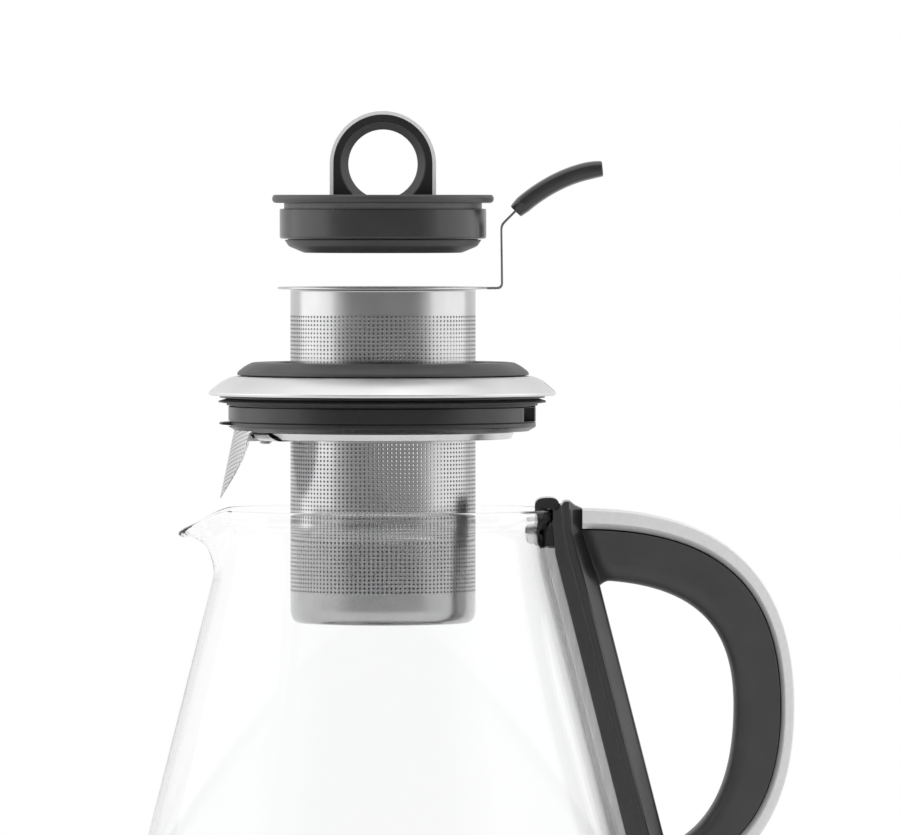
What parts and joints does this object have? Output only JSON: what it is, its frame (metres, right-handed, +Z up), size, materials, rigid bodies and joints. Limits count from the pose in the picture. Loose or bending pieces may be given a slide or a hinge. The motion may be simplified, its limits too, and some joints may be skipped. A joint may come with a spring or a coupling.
{
  "type": "electric tea kettle",
  "caption": "Conical glass electric tea kettle with a D handle, a cordless power base and a lift-out perforated tea infuser, shown with its collar, infuser and lid raised.",
  "frame": {"origin": "middle of the power base's underside, on the surface it stands on", "axes": "+Z up along the jug's axis, +X towards the handle, the spout at -X"},
  "size_m": [0.2319, 0.1764, 0.3252],
  "materials": {
    "glass": "clear borosilicate glass",
    "black_plastic": "black moulded plastic, satin",
    "grey_plastic": "dark grey moulded plastic, fine matt texture",
    "silver_plastic": "silver painted plastic, satin",
    "steel": "satin stainless steel",
    "brushed_steel": "brushed stainless steel",
    "silicone": "black silicone",
    "clear_silicone": "translucent silicone",
    "rubber": "black rubber",
    "lens": "clear lamp window"
  },
  "bodies": {
    "power_base": {"base_shell": "black_plastic", "base_underside": "black_plastic", "base_connector": "grey_plastic", "cord_gland": "rubber", "rubber_foot_1": "rubber", "rubber_foot_2": "rubber", "rubber_foot_3": "rubber", "rubber_foot_4": "rubber", "base_screw_1": "steel", "base_screw_2": "steel", "base_screw_3": "steel"},
    "swivel_ring": {"swivel_ring": "grey_plastic"},
    "jug": {"glass_jug": "glass", "heating_plate": "steel", "plate_seal": "silicone", "heating_element": "steel", "thermal_control": "grey_plastic", "base_band": "brushed_steel", "jug_base_cover": "black_plastic", "indicator_lens": "lens", "handle_strap": "black_plastic", "handle_spine": "brushed_steel", "handle_grip": "grey_plastic", "handle_trim": "silver_plastic", "rim_hook": "black_plastic", "clip_pad": "clear_silicone", "clip_screw": "steel", "switch_pin": "steel", "handle_screw_1": "steel", "handle_screw_2": "steel", "cover_screw_1": "steel", "cover_screw_2": "steel", "cover_screw_3": "steel"},
    "switch_lever": {"switch_lever": "grey_plastic"},
    "collar": {"collar_top_ring": "grey_plastic", "collar_dome": "steel", "collar_body": "black_plastic", "collar_gasket": "silicone", "spout_seal": "silicone", "collar_pan": "steel", "spout_strainer": "brushed_steel", "strainer_bracket": "steel", "strainer_rivet_1": "steel", "strainer_rivet_2": "steel", "collar_screw_1": "steel", "collar_screw_2": "steel", "collar_screw_3": "steel", "collar_screw_4": "steel"},
    "infuser": {"infuser_basket": "brushed_steel", "infuser_strap": "steel", "infuser_grip": "grey_plastic"},
    "lid": {"lid_cap": "grey_plastic", "lid_neck": "silicone", "lid_ring": "grey_plastic", "lid_cup": "black_plastic", "lid_arch": "grey_plastic", "lid_arch_trim": "silver_plastic", "lid_screw_1": "steel", "lid_screw_2": "steel"}
  },
  "joints": [
    {"name": "jug_lift", "type": "slide", "parent": "power_base", "child": "swivel_ring", "axis": [0, 0, 1], "range_m": [0, 0.08]},
    {"name": "jug_swivel", "type": "hinge", "parent": "swivel_ring", "child": "jug", "pos_m": [0, 0, 0.0179], "axis": [0, 0, 1], "continuous": true},
    {"name": "switch", "type": "hinge", "parent": "jug", "child": "switch_lever", "pos_m": [0.099, 0, 0.037], "axis": [0, 1, 0], "range_deg": [0, 12]},
    {"name": "collar_lift", "type": "slide", "parent": "jug", "child": "collar", "axis": [0, 0, 1], "range_m": [-0.0395, 0.1]},
    {"name": "infuser_lift", "type": "slide", "parent": "collar", "child": "infuser", "axis": [0, 0, 1], "range_m": [-0.0446, 0.11]},
    {"name": "lid_lift", "type": "slide", "parent": "infuser", "child": "lid", "axis": [0, 0, 1], "range_m": [-0.0108, 0.05]}
  ]
}
